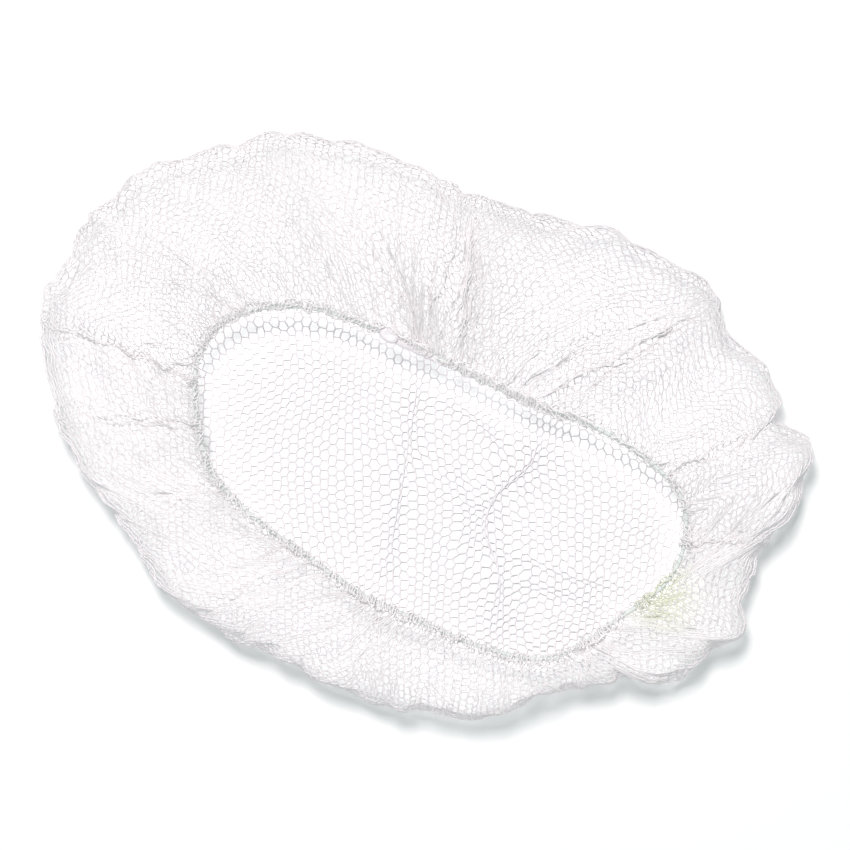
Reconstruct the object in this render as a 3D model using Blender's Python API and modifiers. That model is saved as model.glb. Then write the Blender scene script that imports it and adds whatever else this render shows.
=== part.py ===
"""Disposable hairnet, lying crown down with its elastic rim on top.

The net is one thin hollow wall. It lies flat on its crown, swells outwards past the rim,
turns over at its outer edge and comes back in, gathered, to the elastic band. The band is
a round elastic cord along the rim, with its sealed join as a small knot on top.

X runs along the longer side of the outline and Z points up. The origin is on the floor,
below the middle of the outline.
"""

import math

import bmesh
import bpy
from mathutils import Vector

# Driving dimensions, in metres
NET_LENGTH = 0.272
NET_WIDTH = 0.192
NET_HEIGHT = 0.036
EDGE_HEIGHT = 0.012
RIM_LENGTH = 0.181
RIM_WIDTH = 0.094
RIM_HEIGHT = 0.020
RIM_SHIFT_X = 0.0126
RIM_SHIFT_Y = -0.0141
CLOTH_WALL = 0.001
BAND_DIAMETER = 0.0024
KNOT_LENGTH = 0.0040
KNOT_WIDTH = 0.0032
KNOT_HEIGHT = 0.0022
CLEARANCE = 0.0003
GATHER_DEPTH = 0.0013
CROWN_FOLD_WIDTH = 0.014

# Shape of the folds and gathers: how round a fold's arch is from the rim to the outer edge, and
# the gathers' depth at the rim, how fast it grows outwards and the share of the way where it ends
ARCH_POWER = 0.8
GATHER_AT_RIM = 0.35
GATHER_GROWTH = 5.0
GATHER_END = 0.7

# How the surface is divided
DIRECTIONS = 112
GATHER_COUNT = 28
KNOT_ANGLE = 117.0
KNOT_SEGMENTS = 14
KNOT_RINGS = 8
NORMAL_STEP = 1.0

# Sections round the hairnet, as angles on the oval. outline is a share of the half length and
# half width, rim the same of the rim's, and crest, edge and band are shares of the three heights.
SECTIONS = (
    {"angle": 0, "outline": 0.98, "rim": 0.96, "crest": 0.76, "edge": 0.85, "band": 0.88},
    {"angle": 15, "outline": 0.97, "rim": 1.04, "crest": 0.78, "edge": 0.80, "band": 0.88},
    {"angle": 30, "outline": 1.08, "rim": 1.13, "crest": 0.80, "edge": 0.75, "band": 0.90},
    {"angle": 45, "outline": 1.08, "rim": 1.21, "crest": 0.86, "edge": 0.85, "band": 0.94},
    {"angle": 60, "outline": 1.075, "rim": 1.11, "crest": 0.90, "edge": 0.95, "band": 0.98},
    {"angle": 75, "outline": 1.02, "rim": 0.91, "crest": 0.94, "edge": 1.00, "band": 1.00},
    {"angle": 90, "outline": 0.89, "rim": 0.84, "crest": 0.96, "edge": 1.00, "band": 1.00},
    {"angle": 105, "outline": 0.885, "rim": 0.84, "crest": 0.98, "edge": 1.05, "band": 1.02},
    {"angle": 120, "outline": 0.91, "rim": 0.89, "crest": 1.00, "edge": 1.10, "band": 1.04},
    {"angle": 135, "outline": 0.96, "rim": 0.97, "crest": 0.99, "edge": 1.10, "band": 1.04},
    {"angle": 150, "outline": 0.96, "rim": 1.00, "crest": 0.97, "edge": 1.05, "band": 1.02},
    {"angle": 165, "outline": 0.98, "rim": 1.01, "crest": 0.96, "edge": 1.00, "band": 1.00},
    {"angle": 180, "outline": 0.99, "rim": 1.00, "crest": 0.96, "edge": 1.00, "band": 1.00},
    {"angle": 195, "outline": 1.02, "rim": 0.99, "crest": 0.95, "edge": 0.95, "band": 1.00},
    {"angle": 210, "outline": 1.02, "rim": 1.00, "crest": 0.91, "edge": 0.95, "band": 1.00},
    {"angle": 225, "outline": 1.02, "rim": 1.05, "crest": 0.88, "edge": 0.95, "band": 0.98},
    {"angle": 240, "outline": 1.00, "rim": 1.03, "crest": 0.86, "edge": 0.95, "band": 0.96},
    {"angle": 255, "outline": 1.02, "rim": 0.98, "crest": 0.85, "edge": 0.95, "band": 0.96},
    {"angle": 270, "outline": 0.99, "rim": 0.99, "crest": 0.85, "edge": 0.95, "band": 0.96},
    {"angle": 285, "outline": 0.98, "rim": 0.98, "crest": 0.84, "edge": 0.95, "band": 0.94},
    {"angle": 300, "outline": 0.95, "rim": 1.02, "crest": 0.82, "edge": 0.95, "band": 0.92},
    {"angle": 315, "outline": 0.88, "rim": 1.04, "crest": 0.78, "edge": 0.95, "band": 0.90},
    {"angle": 330, "outline": 0.885, "rim": 0.97, "crest": 0.75, "edge": 0.90, "band": 0.88},
    {"angle": 345, "outline": 0.96, "rim": 0.93, "crest": 0.74, "edge": 0.85, "band": 0.88},
)

# Small tabs and notches of the outer edge: half_width in degrees, reach as a share of the outline.
EDGE_LOBES = (
    {"name": "flap_tip", "angle": 36, "half_width": 7, "reach": 0.055},
    {"name": "flap_notch", "angle": 12, "half_width": 8, "reach": -0.025},
    {"name": "corner", "angle": 357, "half_width": 6, "reach": 0.025},
    {"name": "corner_notch", "angle": 348, "half_width": 5, "reach": -0.015},
    {"name": "front_lobe", "angle": 338, "half_width": 7, "reach": 0.035},
    {"name": "bottom_notch", "angle": 275, "half_width": 6, "reach": -0.015},
    {"name": "left_notch", "angle": 232, "half_width": 6, "reach": -0.015},
    {"name": "left_tip", "angle": 196, "half_width": 9, "reach": 0.012},
)

# The way of the cloth from the crown's middle, under the puff, round the outer edge and back in
# to the rim. reach is the share of the way out, from the middle on the crown and from the band
# above. rise is the share of the height that the layer climbs. steps divide the way to the next row.
PROFILE = (
    {"layer": "crown", "reach": 0.12, "rise": 0.00, "steps": 2},
    {"layer": "crown", "reach": 0.30, "rise": 0.00, "steps": 3},
    {"layer": "crown", "reach": 0.47, "rise": 0.00, "steps": 3},
    {"layer": "crown", "reach": 0.63, "rise": 0.00, "steps": 2},
    {"layer": "crown", "reach": 0.78, "rise": 0.00, "steps": 1},
    {"layer": "crown", "reach": 0.90, "rise": 0.16, "steps": 1},
    {"layer": "crown", "reach": 0.97, "rise": 0.52, "steps": 1},
    {"layer": "outer", "reach": 1.00, "rise": 0.00, "steps": 1},
    {"layer": "outer", "reach": 0.97, "rise": 0.40, "steps": 1},
    {"layer": "outer", "reach": 0.87, "rise": 0.76, "steps": 1},
    {"layer": "outer", "reach": 0.73, "rise": 0.95, "steps": 1},
    {"layer": "inner", "reach": 0.57, "rise": 1.00, "steps": 1},
    {"layer": "inner", "reach": 0.40, "rise": 0.92, "steps": 1},
    {"layer": "inner", "reach": 0.25, "rise": 0.72, "steps": 1},
    {"layer": "inner", "reach": 0.12, "rise": 0.42, "steps": 2},
    {"layer": "inner", "reach": 0.00, "rise": 0.06, "steps": 0},
)

# Folds of the puff, from the outer edge to the rim: the angle where each starts and ends,
# half_width in degrees, and rise as a share of the net's height, below 0 for a valley.
PUFF_FOLDS = (
    {"name": "back_wedge", "outer": 101, "inner": 93, "half_width": 8, "rise": -0.17},
    {"name": "back_ridge", "outer": 116, "inner": 103, "half_width": 8, "rise": 0.07},
    {"name": "back_crease", "outer": 137, "inner": 113, "half_width": 9, "rise": -0.14},
    {"name": "left_back_crease", "outer": 150, "inner": 132, "half_width": 8, "rise": -0.09},
    {"name": "left_dimple", "outer": 172, "inner": 158, "half_width": 9, "rise": -0.08},
    {"name": "left_ridge", "outer": 196, "inner": 186, "half_width": 7, "rise": 0.09},
    {"name": "left_crease", "outer": 202, "inner": 198, "half_width": 8, "rise": -0.13},
    {"name": "low_left_crease", "outer": 222, "inner": 213, "half_width": 8, "rise": -0.10},
    {"name": "low_left_pleat", "outer": 235, "inner": 225, "half_width": 8, "rise": -0.06},
    {"name": "front_crease", "outer": 284, "inner": 271, "half_width": 9, "rise": -0.08},
    {"name": "front_right_pleat", "outer": 322, "inner": 330, "half_width": 9, "rise": -0.07},
    {"name": "corner_pleat", "outer": 357, "inner": 10, "half_width": 8, "rise": 0.07},
    {"name": "flap_low_pleat", "outer": 16, "inner": 28, "half_width": 8, "rise": -0.09},
    {"name": "flap_ridge", "outer": 35, "inner": 40, "half_width": 8, "rise": 0.09},
    {"name": "right_back_pleat", "outer": 49, "inner": 60, "half_width": 8, "rise": -0.09},
    {"name": "right_back_crease", "outer": 61, "inner": 76, "half_width": 8, "rise": -0.13},
)

# Creases that stand up from the crown. The ends are shares of the half length and half width.
CROWN_FOLDS = (
    {"name": "middle_crease", "start": (-0.06, 0.19), "end": (0.12, -0.48), "height": 0.0026},
    {"name": "right_crease_back", "start": (0.29, 0.21), "end": (0.28, -0.16), "height": 0.0040},
    {"name": "right_crease_front", "start": (0.28, -0.16), "end": (0.46, -0.45), "height": 0.0040},
    {"name": "slant_crease", "start": (0.04, 0.14), "end": (0.28, 0.08), "height": 0.0022},
    {"name": "front_crease", "start": (0.34, -0.23), "end": (0.66, -0.15), "height": 0.0026},
)


def clear_scene():
    """Remove every object of the opened scene."""
    for thing in list(bpy.data.objects):
        bpy.data.objects.remove(thing, do_unlink=True)


def make_material(name, colour, roughness):
    """A Principled material in one colour."""
    material = bpy.data.materials.new(name)
    material.use_nodes = True
    shader = material.node_tree.nodes["Principled BSDF"]
    shader.inputs["Base Color"].default_value = (*colour, 1.0)
    shader.inputs["Roughness"].default_value = roughness
    shader.inputs["Metallic"].default_value = 0.0
    material.diffuse_color = (*colour, 1.0)
    return material


def cubic(before, start, end, after, t):
    """A smooth value between start and end, from the values on both sides of them."""
    slope_in = (end - before) * 0.5
    slope_out = (after - start) * 0.5
    a = start * 2.0 - end * 2.0 + slope_in + slope_out
    b = end * 3.0 - start * 3.0 - slope_in * 2.0 - slope_out
    return ((a * t + b) * t + slope_in) * t + start


def section_share(column, angle):
    """A column of SECTIONS at any angle, joined smoothly all the way round."""
    count = len(SECTIONS)
    step = 360.0 / count
    place = (angle % 360.0) / step
    row = int(place)
    around = [SECTIONS[(row + k) % count][column] for k in (-1, 0, 1, 2)]
    return cubic(*around, place - row)


def angle_between(first, second):
    """The turn from the second angle to the first, between -180 and 180 degrees."""
    return (first - second + 180.0) % 360.0 - 180.0


def bump(distance, half_width):
    """1 at distance 0, falling smoothly to 0 at the half width and beyond."""
    share = distance / half_width
    if abs(share) >= 1.0:
        return 0.0
    return (1.0 - share * share) ** 2


def outline_reach(angle):
    """The outer edge seen from above, before it is centred on the origin."""
    share = section_share("outline", angle)
    for lobe in EDGE_LOBES:
        share += lobe["reach"] * bump(angle_between(angle, lobe["angle"]), lobe["half_width"])
    turn = math.radians(angle)
    return Vector((share * NET_LENGTH / 2 * math.cos(turn), share * NET_WIDTH / 2 * math.sin(turn)))


def outline_middle():
    """The middle of the outline's box, which is moved to the origin."""
    edge = [outline_reach(360.0 * i / DIRECTIONS) for i in range(DIRECTIONS)]
    across = [point.x for point in edge]
    along = [point.y for point in edge]
    return Vector(((max(across) + min(across)) / 2, (max(along) + min(along)) / 2))


MIDDLE = outline_middle()


def outline_point(angle):
    """A point of the net's outer edge."""
    reach = outline_reach(angle) - MIDDLE
    return Vector((reach.x, reach.y, EDGE_HEIGHT * section_share("edge", angle)))


def rim_point(angle):
    """A point on the elastic band's centre line."""
    share = section_share("rim", angle)
    turn = math.radians(angle)
    return Vector((
        RIM_SHIFT_X - MIDDLE.x + share * RIM_LENGTH / 2 * math.cos(turn),
        RIM_SHIFT_Y - MIDDLE.y + share * RIM_WIDTH / 2 * math.sin(turn),
        RIM_HEIGHT * section_share("band", angle),
    ))


def rim_outward(angle):
    """The level direction that points away from the rim's opening."""
    along = rim_point(angle + NORMAL_STEP) - rim_point(angle - NORMAL_STEP)
    return Vector((along.y, -along.x, 0.0)).normalized()


def net_edge_point(angle):
    """Where the net ends, just clear of the elastic band."""
    return rim_point(angle) + rim_outward(angle) * (BAND_DIAMETER / 2 + CLEARANCE)


def profile_point(row, angle):
    """The point of one PROFILE row in one direction."""
    outline = outline_point(angle)
    if row["layer"] == "crown":
        return Vector((
            outline.x * row["reach"],
            outline.y * row["reach"],
            outline.z * row["rise"],
        ))
    edge = net_edge_point(angle)
    crest = NET_HEIGHT * section_share("crest", angle)
    foot = outline.z if row["layer"] == "outer" else edge.z
    point = edge.lerp(outline, row["reach"])
    point.z = foot + (crest - foot) * row["rise"]
    return point


def puff_rise(angle, reach):
    """How far folds and gathers lift the upper layer, at a share of the way out from the rim."""
    arch = math.sin(math.pi * min(max(reach, 0.0), 1.0)) ** ARCH_POWER
    rise = 0.0
    for fold in PUFF_FOLDS:
        run = fold["inner"] + angle_between(fold["outer"], fold["inner"]) * reach
        away = angle_between(angle, run)
        rise += NET_HEIGHT * fold["rise"] * arch * bump(away, fold["half_width"])
    swell = min(1.0, GATHER_AT_RIM + reach * GATHER_GROWTH)
    strength = swell * max(0.0, 1.0 - reach / GATHER_END)
    rise += GATHER_DEPTH * strength * math.cos(math.radians(angle) * GATHER_COUNT)
    return rise


def crown_rise(x, y):
    """How far creases lift the crown at a place."""
    place = Vector((x, y))
    highest = 0.0
    for fold in CROWN_FOLDS:
        start = Vector((fold["start"][0] * NET_LENGTH / 2, fold["start"][1] * NET_WIDTH / 2))
        end = Vector((fold["end"][0] * NET_LENGTH / 2, fold["end"][1] * NET_WIDTH / 2))
        run = end - start
        share = min(max((place - start).dot(run) / run.length_squared, 0.0), 1.0)
        away = (place - start - run * share).length
        highest = max(highest, fold["height"] * bump(away, CROWN_FOLD_WIDTH / 2))
    return highest


def net_section(angle):
    """The points of the net's surface in one direction, from near the middle to the rim."""
    rows = [profile_point(row, angle) for row in PROFILE]
    points = []
    for i, row in enumerate(PROFILE):
        last = i + 1 == len(PROFILE)
        following = PROFILE[i] if last else PROFILE[i + 1]
        for step in range(1 if last else row["steps"]):
            t = 0.0 if last else step / row["steps"]
            before = rows[max(i - 1, 0)]
            after = rows[min(i + 2, len(rows) - 1)]
            point = cubic(before, rows[i], rows[min(i + 1, len(rows) - 1)], after, t)
            if row["layer"] == "crown":
                point.z = max(point.z, 0.0) + crown_rise(point.x, point.y)
            else:
                point.z += puff_rise(angle, row["reach"] + (following["reach"] - row["reach"]) * t)
            points.append(point)
    return points


def build_net():
    """The net's cloth: an open surface lofted through its sections, given its thickness."""
    bm = bmesh.new()
    middle = bm.verts.new((0.0, 0.0, crown_rise(0.0, 0.0)))
    sections = []
    for i in range(DIRECTIONS):
        points = net_section(360.0 * i / DIRECTIONS)
        sections.append([bm.verts.new(point) for point in points])
    for i, section in enumerate(sections):
        beside = sections[(i + 1) % DIRECTIONS]
        bm.faces.new((middle, beside[0], section[0]))
        for j in range(len(section) - 1):
            bm.faces.new((section[j], beside[j], beside[j + 1], section[j + 1]))
    mesh = bpy.data.meshes.new("net")
    bm.to_mesh(mesh)
    bm.free()
    mesh.shade_smooth()
    net = bpy.data.objects.new("net", mesh)
    wall = net.modifiers.new("wall", "SOLIDIFY")
    wall.thickness = CLOTH_WALL
    wall.offset = -1.0
    return net


def build_band():
    """The elastic: a closed round cord along the rim."""
    curve = bpy.data.curves.new("elastic_band", "CURVE")
    curve.dimensions = "3D"
    curve.bevel_depth = BAND_DIAMETER / 2
    curve.bevel_resolution = 2
    spline = curve.splines.new("POLY")
    spline.points.add(DIRECTIONS - 1)
    for i, point in enumerate(spline.points):
        point.co = (*rim_point(360.0 * i / DIRECTIONS), 1.0)
    spline.use_cyclic_u = True
    spline.use_smooth = True
    return bpy.data.objects.new("elastic_band", curve)


def build_knot():
    """The sealed join of the elastic: a small rounded lump that sits on the band."""
    bm = bmesh.new()
    bmesh.ops.create_uvsphere(bm, u_segments=KNOT_SEGMENTS, v_segments=KNOT_RINGS, radius=0.5)
    bmesh.ops.scale(bm, vec=(KNOT_LENGTH, KNOT_WIDTH, KNOT_HEIGHT), verts=bm.verts)
    mesh = bpy.data.meshes.new("elastic_knot")
    bm.to_mesh(mesh)
    bm.free()
    mesh.shade_smooth()
    knot = bpy.data.objects.new("elastic_knot", mesh)
    outward = rim_outward(KNOT_ANGLE)
    knot.location = rim_point(KNOT_ANGLE)
    knot.location.z += BAND_DIAMETER / 2 + CLEARANCE + KNOT_HEIGHT / 2
    knot.rotation_euler.z = math.atan2(outward.y, outward.x) + math.pi / 2
    return knot


def main():
    """Build the hairnet's pieces into their collection."""
    clear_scene()
    hairnet = bpy.data.collections.new("disposable_hairnet")
    bpy.context.scene.collection.children.link(hairnet)
    net_cloth = make_material("white_nylon_net", (0.80, 0.79, 0.79), 0.55)
    elastic = make_material("white_covered_elastic", (0.74, 0.75, 0.74), 0.60)
    sealed = make_material("sealed_elastic_end", (0.78, 0.75, 0.76), 0.40)
    for piece, material in (
        (build_net(), net_cloth),
        (build_band(), elastic),
        (build_knot(), sealed),
    ):
        piece.data.materials.append(material)
        hairnet.objects.link(piece)


main()
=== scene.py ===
"""The looks of a disposable hairnet that lies crown down, with its elastic opening on top.

One cut of nylon honeycomb net is laid out flat, thread by thread, and draped over the cap's form:
flat on the floor under the crown, out past the rim, over at the outer edge and back in to the
elastic, where it is gathered and turned round the cord. Lengths are in metres, angles in degrees.
"""

import logging
import math
from dataclasses import dataclass, field
from enum import Enum
from typing import NamedTuple

import bpy
import numpy as np
from bpy.types import Material, Mesh, Node, NodeSocket, NodeTree, Object
from mathutils import Matrix, Vector


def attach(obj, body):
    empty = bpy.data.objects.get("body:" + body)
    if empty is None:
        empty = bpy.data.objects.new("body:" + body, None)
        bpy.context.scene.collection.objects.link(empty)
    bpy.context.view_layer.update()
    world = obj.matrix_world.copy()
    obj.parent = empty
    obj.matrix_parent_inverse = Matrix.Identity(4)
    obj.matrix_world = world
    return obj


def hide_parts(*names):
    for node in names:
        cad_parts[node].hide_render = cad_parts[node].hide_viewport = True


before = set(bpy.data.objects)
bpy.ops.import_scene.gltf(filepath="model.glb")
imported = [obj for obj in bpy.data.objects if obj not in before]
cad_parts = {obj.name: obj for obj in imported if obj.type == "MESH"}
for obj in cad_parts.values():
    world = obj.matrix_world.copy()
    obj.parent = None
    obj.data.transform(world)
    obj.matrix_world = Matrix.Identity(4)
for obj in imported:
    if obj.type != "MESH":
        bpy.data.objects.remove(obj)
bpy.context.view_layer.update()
log = logging.getLogger("hairnet")

Pair = tuple[float, float]
MM = 0.001
UP = np.array([0.0, 0.0, 1.0])
# The share of the way out that the hem's points get, which lie inside the rim.
HEM_REACH = -0.01


class Section(NamedTuple):
    """One direction of the cap. Shares of the half outline, the half rim and the three heights."""

    angle: float
    outline: float
    rim: float
    crest: float
    edge: float
    band: float


class EdgeLobe(NamedTuple):
    """A small tab or notch of the outer edge."""

    angle: float
    half_width: float
    reach: float


class Station(NamedTuple):
    """A station of the cloth's way from the crown to the rim: its layer and its two shares."""

    layer: str
    reach: float
    rise: float


class Fold(NamedTuple):
    """A ridge or valley of the puff, from the outer edge to the rim."""

    outer: float
    inner: float
    half_width: float
    rise: float


class Gather(NamedTuple):
    """A band of the puff where the net is drawn together into fine lines, outer edge to rim."""

    outer: float
    inner: float
    half_width: float
    squeeze: float
    pleats: int


class Crease(NamedTuple):
    """A crease that stands up from the crown, along points in millimetres."""

    route: tuple[Pair, ...]
    half_width: float
    height: float
    squeeze: float


SECTIONS = (
    Section(0, 0.98, 0.96, 0.76, 0.85, 0.88),
    Section(15, 0.97, 1.04, 0.78, 0.80, 0.88),
    Section(30, 1.08, 1.13, 0.80, 0.75, 0.90),
    Section(45, 1.08, 1.21, 0.86, 0.85, 0.94),
    Section(60, 1.075, 1.11, 0.90, 0.95, 0.98),
    Section(75, 1.02, 0.91, 0.94, 1.00, 1.00),
    Section(90, 0.89, 0.84, 0.96, 1.00, 1.00),
    Section(105, 0.885, 0.84, 0.98, 1.05, 1.02),
    Section(120, 0.91, 0.89, 1.00, 1.10, 1.04),
    Section(135, 0.96, 0.97, 0.99, 1.10, 1.04),
    Section(150, 0.96, 1.00, 0.97, 1.05, 1.02),
    Section(165, 0.98, 1.01, 0.96, 1.00, 1.00),
    Section(180, 0.99, 1.00, 0.96, 1.00, 1.00),
    Section(195, 1.02, 0.99, 0.95, 0.95, 1.00),
    Section(210, 1.02, 1.00, 0.91, 0.95, 1.00),
    Section(225, 1.02, 1.05, 0.88, 0.95, 0.98),
    Section(240, 1.00, 1.03, 0.86, 0.95, 0.96),
    Section(255, 1.02, 0.98, 0.85, 0.95, 0.96),
    Section(270, 0.99, 0.99, 0.85, 0.95, 0.96),
    Section(285, 0.98, 0.98, 0.84, 0.95, 0.94),
    Section(300, 0.95, 1.02, 0.82, 0.95, 0.92),
    Section(315, 0.88, 1.04, 0.78, 0.95, 0.90),
    Section(330, 0.885, 0.97, 0.75, 0.90, 0.88),
    Section(345, 0.96, 0.93, 0.74, 0.85, 0.88),
)

EDGE_LOBES = (
    EdgeLobe(36, 7, 0.055),
    EdgeLobe(12, 8, -0.025),
    EdgeLobe(357, 6, 0.025),
    EdgeLobe(348, 5, -0.015),
    EdgeLobe(338, 7, 0.035),
    EdgeLobe(275, 6, -0.015),
    EdgeLobe(232, 6, -0.015),
    EdgeLobe(196, 9, 0.012),
)

FINE_LOBES = (
    EdgeLobe(3, 7, -0.025),
    EdgeLobe(35, 5, -0.020),
    EdgeLobe(40.3, 3.6, -0.058),
    EdgeLobe(55.3, 6.5, -0.060),
    EdgeLobe(64.5, 5, 0.025),
    EdgeLobe(102, 14, -0.030),
    EdgeLobe(138, 16, -0.013),
    EdgeLobe(230.5, 6, 0.020),
    EdgeLobe(251, 7, 0.023),
    EdgeLobe(276, 3.5, 0.030),
    EdgeLobe(303, 9, 0.018),
    EdgeLobe(310.5, 5, 0.020),
    EdgeLobe(332.5, 4, -0.022),
    EdgeLobe(347.5, 5, 0.014),
)

STATIONS = (
    Station("crown", 0.00, 0.00),
    Station("crown", 0.12, 0.00),
    Station("crown", 0.30, 0.00),
    Station("crown", 0.47, 0.00),
    Station("crown", 0.63, 0.00),
    Station("crown", 0.78, 0.00),
    Station("crown", 0.90, 0.16),
    Station("crown", 0.97, 0.52),
    Station("puff", 1.00, 0.00),
    Station("puff", 0.97, 0.40),
    Station("puff", 0.87, 0.76),
    Station("puff", 0.73, 0.95),
    Station("inner", 0.57, 1.00),
    Station("inner", 0.40, 0.92),
    Station("inner", 0.25, 0.72),
    Station("inner", 0.12, 0.42),
    Station("inner", 0.00, 0.06),
)

PUFF_FOLDS = (
    Fold(101, 93, 8, -0.17),
    Fold(116, 103, 8, 0.07),
    Fold(137, 113, 9, -0.14),
    Fold(150, 132, 8, -0.09),
    Fold(172, 158, 9, -0.08),
    Fold(196, 186, 7, 0.09),
    Fold(202, 198, 8, -0.13),
    Fold(222, 213, 8, -0.10),
    Fold(235, 225, 8, -0.06),
    Fold(284, 271, 9, -0.08),
    Fold(322, 330, 9, -0.07),
    Fold(357, 10, 8, 0.07),
    Fold(16, 28, 8, -0.09),
    Fold(35, 40, 8, 0.09),
    Fold(49, 60, 8, -0.09),
    Fold(61, 76, 8, -0.13),
)

GATHERS = (
    Gather(102, 98.5, 34, 0.84, 36),
    Gather(135, 116, 24, 0.90, 24),
    Gather(153, 133, 17, 0.42, 5),
    Gather(174, 160, 18, 0.50, 8),
    Gather(200, 194, 14, 0.75, 9),
    Gather(219, 211, 16, 0.50, 6),
    Gather(238, 230, 18, 0.35, 4),
    Gather(262, 252, 16, 0.30, 4),
    Gather(286, 274, 16, 0.42, 5),
    Gather(322, 330, 16, 0.52, 7),
    Gather(350, 0, 16, 0.45, 6),
    Gather(17, 28, 18, 0.70, 12),
    Gather(40, 48, 16, 0.60, 9),
    Gather(61.5, 73, 20, 0.82, 16),
)

LEFT_CREASE = ((-8.6, 18.3), (3.0, -12.0), (15.8, -46.4))
LONG_CREASE = ((41.4, 8.0), (36.9, -6.5), (39.4, -19.4), (51.4, -30.3))

# The two main creases are each a broad one with a sharp one along its middle.
CROWN_CREASES = (
    Crease(LEFT_CREASE, 9.0, 0.5, 0.48),
    Crease(LEFT_CREASE, 3.6, 0.4, 0.36),
    Crease(((39.7, 24.0), *LONG_CREASE, (62.2, -48.0)), 14.0, 0.7, 0.52),
    Crease(((39.7, 22.0), *LONG_CREASE, (61.2, -45.0)), 6.0, 0.6, 0.43),
    Crease(((22.0, -6.0), (35.0, -25.0), (47.5, -42.0)), 7.0, 0.4, 0.40),
    Crease(((6.0, 13.9), (20.0, 12.5), (34.8, 5.9)), 5.5, 0.5, 0.62),
    Crease(((47.6, -22.1), (68.0, -19.5), (90.2, -14.3)), 5.5, 0.5, 0.60),
    Crease(((54.0, -29.0), (67.0, -27.5), (82.0, -21.0)), 9.0, 0.5, 0.42),
)


def hex_to_linear(colour: str) -> tuple[float, float, float, float]:
    """Turn an sRGB hex colour into the linear RGBA that shader sockets take.

    Args:
        colour: The colour as "#RRGGBB".

    Returns:
        Linear red, green and blue, with alpha 1.
    """
    shares = [int(colour[i:i + 2], 16) / 255 for i in (1, 3, 5)]
    red, green, blue = (c / 12.92 if c <= 0.04045 else ((c + 0.055) / 1.055) ** 2.4 for c in shares)
    return (red, green, blue, 1.0)


def add_node(tree: NodeTree, kind: str, inputs: dict | None = None, **settings) -> Node:
    """Add one node, set its properties and fill or link its inputs.

    Args:
        tree: The node tree that gets the node.
        kind: The node's type, such as "ShaderNodeMix".
        inputs: Values or output sockets, by the name or number of the input.
        **settings: Properties of the node.

    Returns:
        The new node.
    """
    node = tree.nodes.new(kind)
    for name, value in settings.items():
        setattr(node, name, value)
    set_inputs(node, inputs or {})
    return node


def set_inputs(node: Node, inputs: dict) -> None:
    """Fill or link a node's inputs.

    Args:
        node: The node.
        inputs: Values or output sockets, by the name or number of the input.
    """
    for socket, value in inputs.items():
        if isinstance(value, NodeSocket):
            node.id_data.links.new(value, node.inputs[socket])
        else:
            node.inputs[socket].default_value = value


def new_material(name: str) -> tuple[Material, NodeTree, Node]:
    """Start a material and give it with its node tree and its shader."""
    material = bpy.data.materials.new(name)
    material.use_nodes = True
    return material, material.node_tree, material.node_tree.nodes["Principled BSDF"]


def deselect_all() -> None:
    """Deselect every object, the CAD nodes among them."""
    if bpy.context.object is not None and bpy.context.object.mode != "OBJECT":
        bpy.ops.object.mode_set(mode="OBJECT")
    bpy.ops.object.select_all(action="DESELECT")


def activate(piece: Object) -> None:
    """Select one object alone and make it active."""
    deselect_all()
    piece.select_set(True)
    bpy.context.view_layer.objects.active = piece


def weld(threshold: float) -> None:
    """Merge the corners of the active object that lie within a distance of each other."""
    bpy.ops.object.mode_set(mode="EDIT")
    bpy.ops.mesh.select_all(action="SELECT")
    bpy.ops.mesh.remove_doubles(threshold=threshold)
    bpy.ops.object.mode_set(mode="OBJECT")


def join_parts(name: str, parts: list[Object], material: Material) -> Object:
    """Join parts into one piece.

    Args:
        name: The piece's name.
        parts: The objects to join.
        material: The material that the whole piece gets.

    Returns:
        The piece.
    """
    activate(parts[0])
    for part in parts[1:]:
        part.select_set(True)
    bpy.ops.object.join()
    piece = bpy.context.object
    piece.name = name
    piece.data.name = name
    piece.data.materials.clear()
    piece.data.materials.append(material)
    return piece


def read_points(mesh: Mesh) -> np.ndarray:
    """Read a mesh's vertices as an array, a row each."""
    points = np.empty(len(mesh.vertices) * 3, np.float32)
    mesh.vertices.foreach_get("co", points)
    return points.reshape(-1, 3).astype(float)


def write_points(mesh: Mesh, points: np.ndarray) -> None:
    """Move a mesh's vertices to the rows of an array."""
    mesh.vertices.foreach_set("co", points.astype(np.float32).ravel())


def set_values(mesh: Mesh, name: str, values: np.ndarray) -> None:
    """Give each vertex of a mesh a value that its material reads."""
    layer = mesh.attributes.new(name, "FLOAT", "POINT")
    layer.data.foreach_set("value", values.astype(np.float32))


def cubic(before: np.ndarray, start: np.ndarray, end: np.ndarray, after: np.ndarray,
          t: float | np.ndarray) -> np.ndarray:
    """Join start to end with a smooth curve.

    Args:
        before: The value before the start.
        start: The value at the start.
        end: The value at the end.
        after: The value after the end.
        t: The share of the way from start to end.

    Returns:
        The value there.
    """
    slope_in = (end - before) * 0.5
    slope_out = (after - start) * 0.5
    a = start * 2.0 - end * 2.0 + slope_in + slope_out
    b = end * 3.0 - start * 3.0 - slope_in * 2.0 - slope_out
    return ((a * t + b) * t + slope_in) * t + start


def bump(distance: np.ndarray, half_width: float) -> np.ndarray:
    """Fall smoothly from 1 at distance 0 to 0 at the half width and beyond."""
    share = np.clip(np.abs(distance) / half_width, 0.0, 1.0)
    return (1.0 - share * share) ** 2


def turn_between(first: np.ndarray, second: np.ndarray) -> np.ndarray:
    """Give the turn from the second angle to the first, between -180 and 180 degrees."""
    return (first - second + 180.0) % 360.0 - 180.0


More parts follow.
